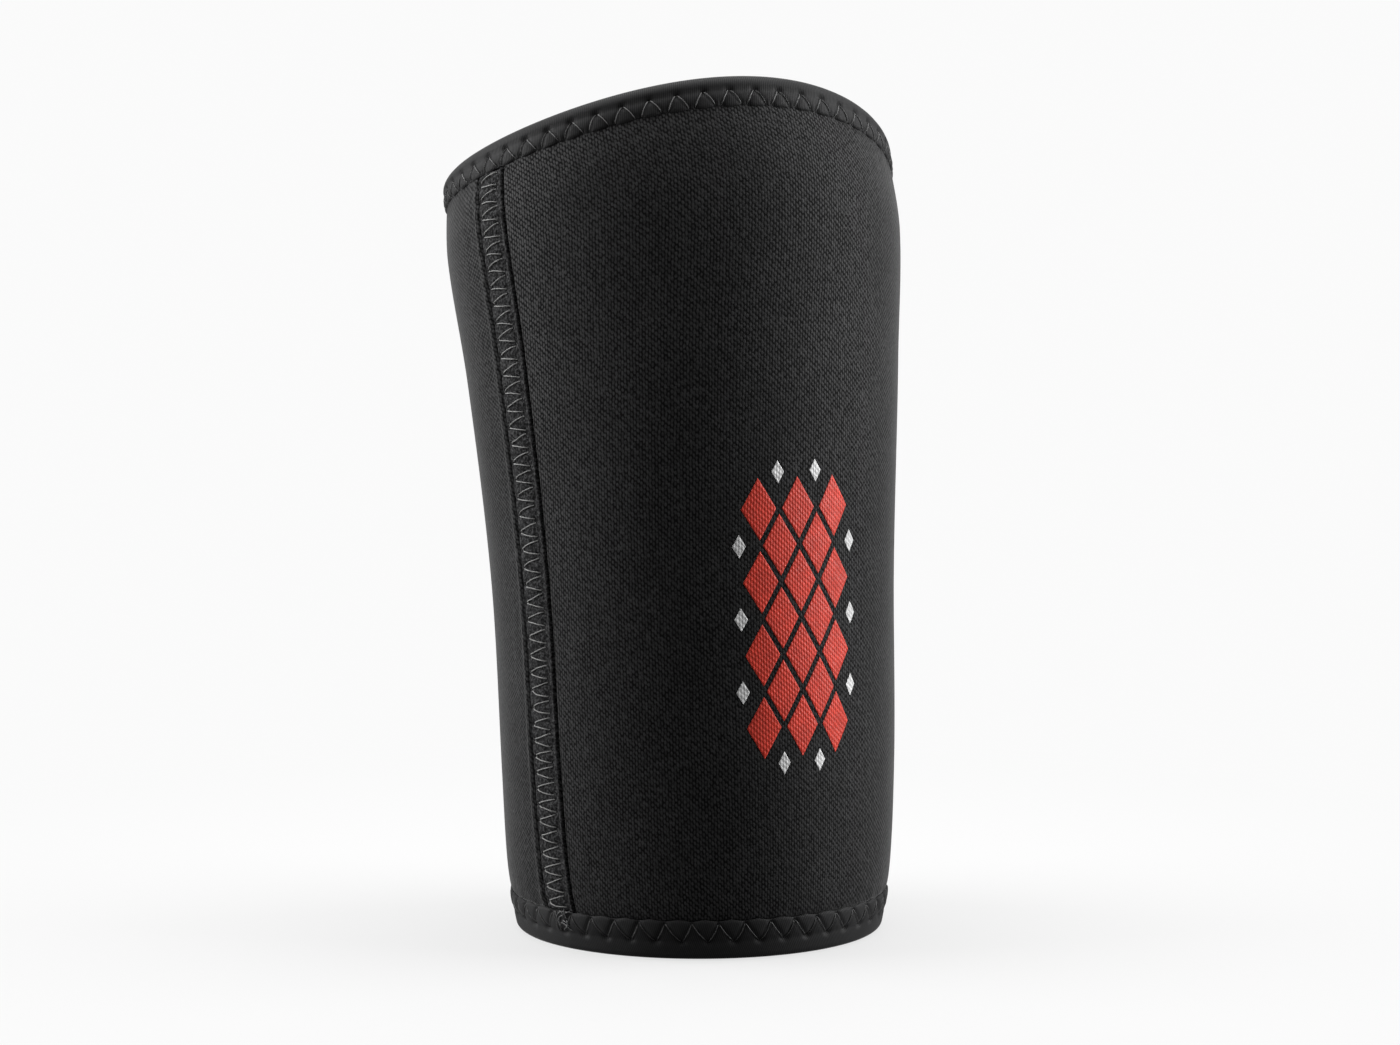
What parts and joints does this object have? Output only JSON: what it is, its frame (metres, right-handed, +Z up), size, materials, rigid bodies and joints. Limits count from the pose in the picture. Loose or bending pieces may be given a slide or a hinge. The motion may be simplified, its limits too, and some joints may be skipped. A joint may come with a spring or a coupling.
{
  "type": "elbow sleeve",
  "caption": "Hollow, slightly bent foam-rubber sleeve worn over the elbow, with a folded tape binding round each rim and a flat tape over its seam.",
  "frame": {"origin": "on the floor, under the middle of the sleeve's box", "axes": "+Z up along the sleeve from the forearm rim to the upper-arm rim, +Y towards the side that the top leans to, +X to the right seen from the front"},
  "size_m": [0.1154, 0.125, 0.2127],
  "materials": {
    "foam_cloth": "black knitted cloth on foam rubber, soft sheen",
    "binding_tape": "black ribbed tape, soft sheen",
    "seam_tape": "black matt tape",
    "thread": "grey sewing thread, slightly glossy",
    "print_red": "red printed film, satin",
    "print_white": "white printed film, satin"
  },
  "bodies": {
    "root": {"sleeve_body": "foam_cloth", "top_binding": "binding_tape", "bottom_binding": "binding_tape", "seam_tape": "seam_tape"}
  },
  "joints": []
}
